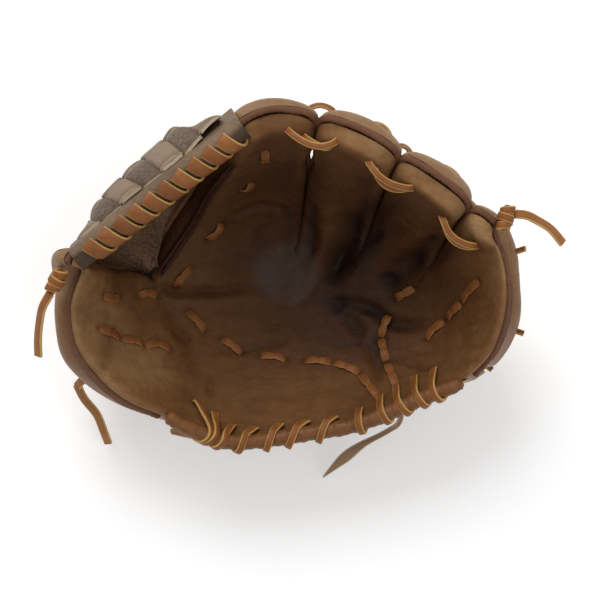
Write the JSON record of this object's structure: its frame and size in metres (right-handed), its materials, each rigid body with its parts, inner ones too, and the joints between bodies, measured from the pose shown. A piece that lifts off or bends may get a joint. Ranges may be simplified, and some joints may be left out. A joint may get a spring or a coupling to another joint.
{
  "type": "fielder's baseball glove",
  "caption": "Left-hand fielder's baseball glove lying pocket up, with padded finger stalls, closed basket-weave web, laced heel and loose lace ends.",
  "frame": {"origin": "centre of the glove's footprint on the surface it lies on, at that surface, without the loose lace ends", "axes": "+Z out of the pocket, away from the surface; +Y from the heel to the fingertips; +X from the thumb to the little finger"},
  "size_m": [0.3101, 0.207, 0.1748],
  "materials": {
    "palm_leather": "oiled, worn smooth and darkened in the pocket",
    "back_leather": "oiled, satin",
    "welting": "satin, dark red-brown",
    "binding": "satin, red-brown",
    "rawhide_lace": "satin with pale cut edges",
    "web_leather": "pebbled, satin",
    "weave_leather": "dull, grey-brown, pale cut edges",
    "lining": "dull tan",
    "felt_padding": "matte felt",
    "fleece": "matte pile"
  },
  "bodies": {
    "palm": {"heel_binding_palm": "binding", "heel_lace_palm": "rawhide_lace", "index_welting": "welting", "middle_welting": "welting", "ring_welting": "welting", "pinky_welting": "welting", "palm_leather": "palm_leather", "palm_felt": "felt_padding", "palm_lining": "lining", "hand_back": "back_leather", "wrist_strap": "back_leather", "strap_fleece": "fleece", "index_back": "back_leather", "middle_back": "back_leather", "ring_back": "back_leather", "pinky_back": "back_leather", "web_panel": "web_leather", "web_weave": "weave_leather", "web_roll": "weave_leather", "web_roll_lace": "rawhide_lace", "tip_lace_index_middle": "rawhide_lace", "tip_lace_middle_ring": "rawhide_lace", "tip_lace_ring_pinky": "rawhide_lace", "heel_tail": "rawhide_lace", "pinky_tip_tail": "rawhide_lace", "pinky_tip_knot": "rawhide_lace"},
    "thumb_side": {"heel_binding_thumb": "binding", "heel_lace_thumb": "rawhide_lace", "thumb_welting": "welting", "thumb_leather": "palm_leather", "thumb_felt": "felt_padding", "thumb_back": "back_leather", "thumb_tip_tail": "rawhide_lace", "thumb_tip_knot": "rawhide_lace", "thumb_heel_tail": "rawhide_lace"}
  },
  "joints": [
    {"name": "thumb_fold", "type": "hinge", "parent": "palm", "child": "thumb_side", "pos_m": [-0.03569, -0.08737, 0.074], "axis": [-0.418, 0.8995, -0.1272], "range_deg": [-1.5, 28], "deforming": ["web_panel", "web_weave", "web_roll", "web_roll_lace"]}
  ]
}
